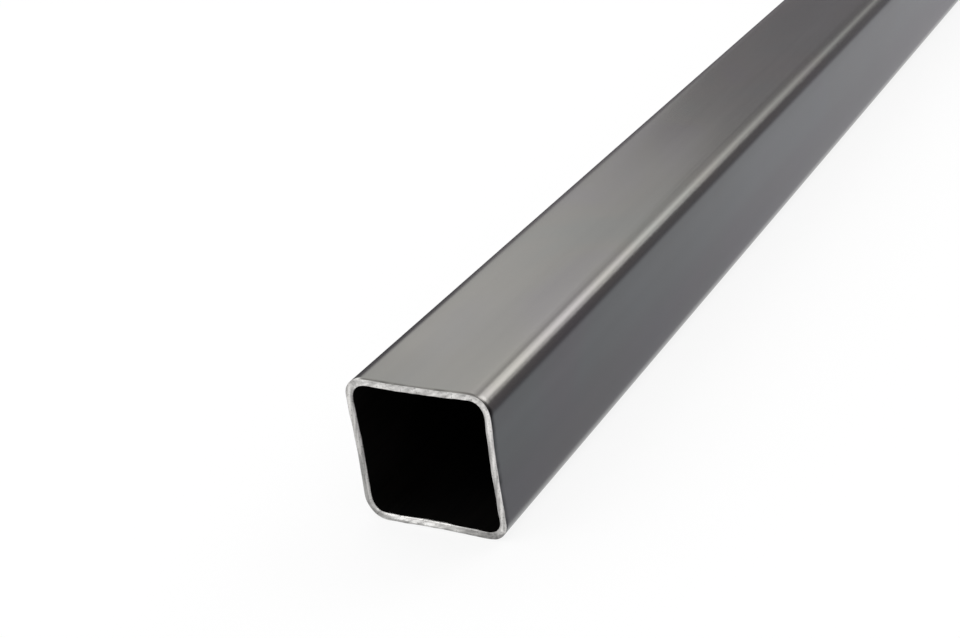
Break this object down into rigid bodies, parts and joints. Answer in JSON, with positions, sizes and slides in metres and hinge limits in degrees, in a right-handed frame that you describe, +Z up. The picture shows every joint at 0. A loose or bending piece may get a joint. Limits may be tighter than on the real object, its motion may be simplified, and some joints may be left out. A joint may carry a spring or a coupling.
{
  "type": "square metal tube",
  "caption": "Straight length of square steel tube with rounded corners, open right through and sawn square at both ends, for frames and brackets.",
  "frame": {"origin": "middle of the underside, half way along the tube", "axes": "+Y along the tube, from the front end to the back end; +Z up, square to the top side; +X to the right seen from the front end"},
  "size_m": [0.04, 1, 0.04],
  "materials": {
    "mill_steel": "satin cold-rolled mill finish, lightly oiled; sawn ends bright, bore dark"
  },
  "bodies": {
    "root": {"square_tube": "mill_steel"}
  },
  "joints": []
}
